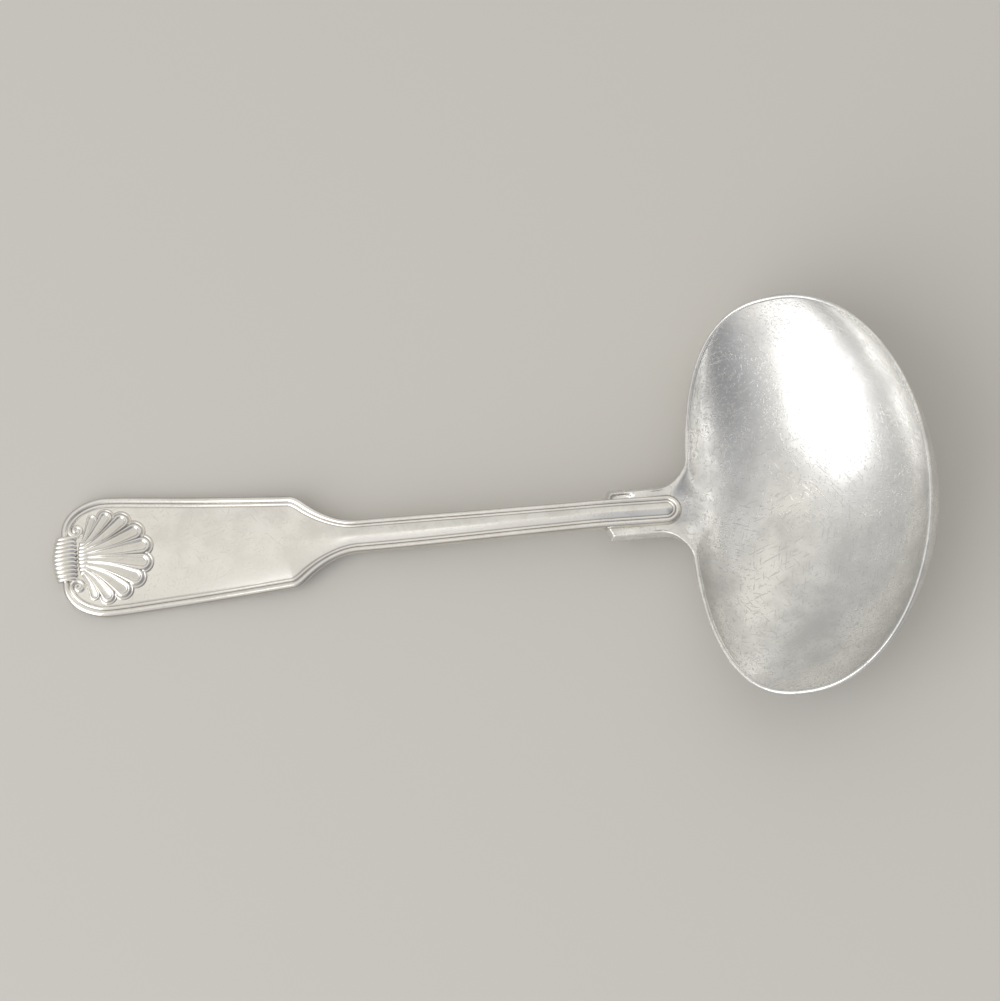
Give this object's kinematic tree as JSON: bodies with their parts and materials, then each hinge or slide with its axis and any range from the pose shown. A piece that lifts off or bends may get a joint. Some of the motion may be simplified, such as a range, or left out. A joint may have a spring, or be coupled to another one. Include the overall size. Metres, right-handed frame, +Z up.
{
  "type": "gravy ladle",
  "caption": "Small serving ladle with a wide oval bowl set across a fiddle-shaped handle that has a thread border and a shell.",
  "frame": {"origin": "middle of the worn flat that the bowl rests on, at table height", "axes": "+X from the handle towards the bowl, +Z up with the ladle lying on a table, Y across it"},
  "size_m": [0.1715, 0.0788, 0.0284],
  "materials": {
    "bowl_silver": "worn polish",
    "handle_silver": "struck and polished",
    "hard_solder": "satin"
  },
  "bodies": {
    "root": {"bowl": "bowl_silver", "handle": "handle_silver", "solder_seam": "hard_solder"}
  },
  "joints": []
}
